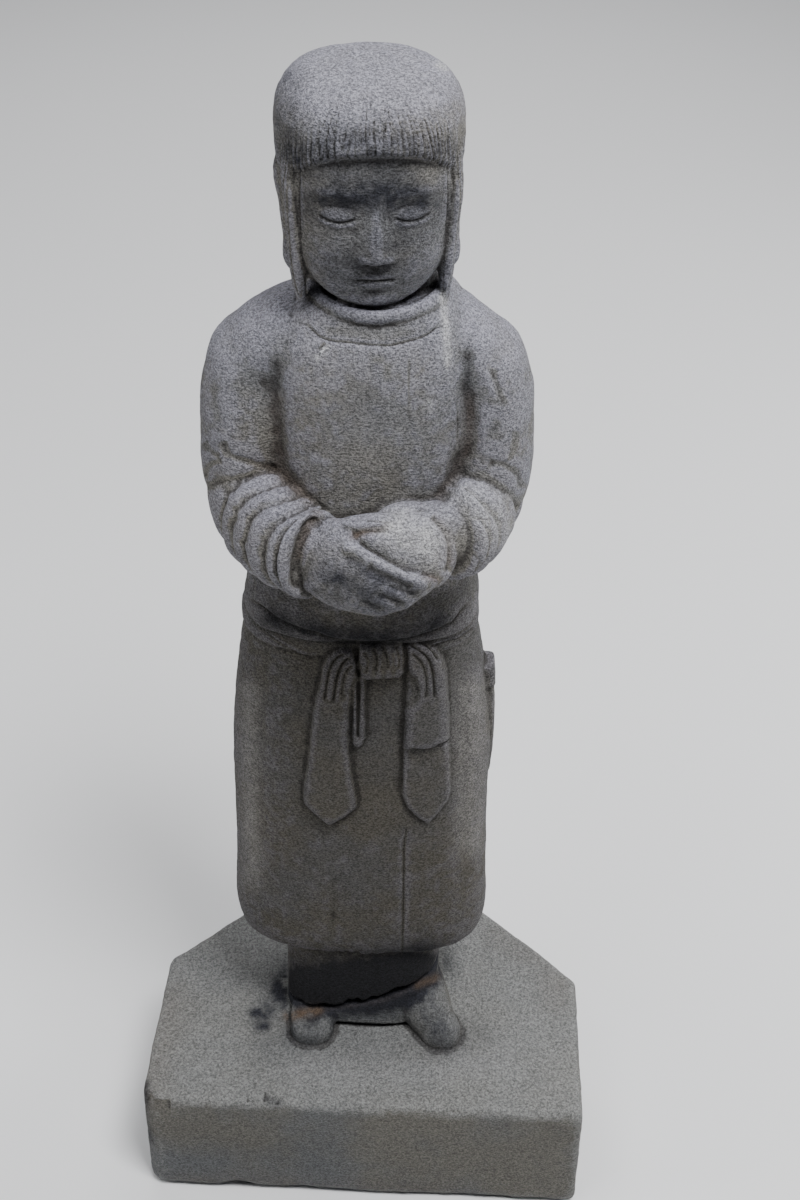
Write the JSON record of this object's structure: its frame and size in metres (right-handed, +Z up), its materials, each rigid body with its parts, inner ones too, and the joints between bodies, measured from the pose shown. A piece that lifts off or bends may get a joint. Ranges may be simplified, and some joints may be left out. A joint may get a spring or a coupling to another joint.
{
  "type": "stone attendant statue",
  "caption": "Standing stone attendant with clasped hands, robe, sash and plain hair cap, broken at the ankles and standing on a low plinth with cut rear corners.",
  "frame": {"origin": "middle of the plinth's underside", "axes": "+Z up; the figure looks along -Y; +X is on the right of someone who faces it"},
  "size_m": [0.31, 0.206, 0.7892],
  "materials": {
    "figure_stone": "carved and worn, matt, with brown stains in the creases",
    "plinth_stone": "pecked flat, matt, with dark stains on top"
  },
  "bodies": {
    "root": {"figure": "figure_stone", "plinth": "plinth_stone"}
  },
  "joints": []
}
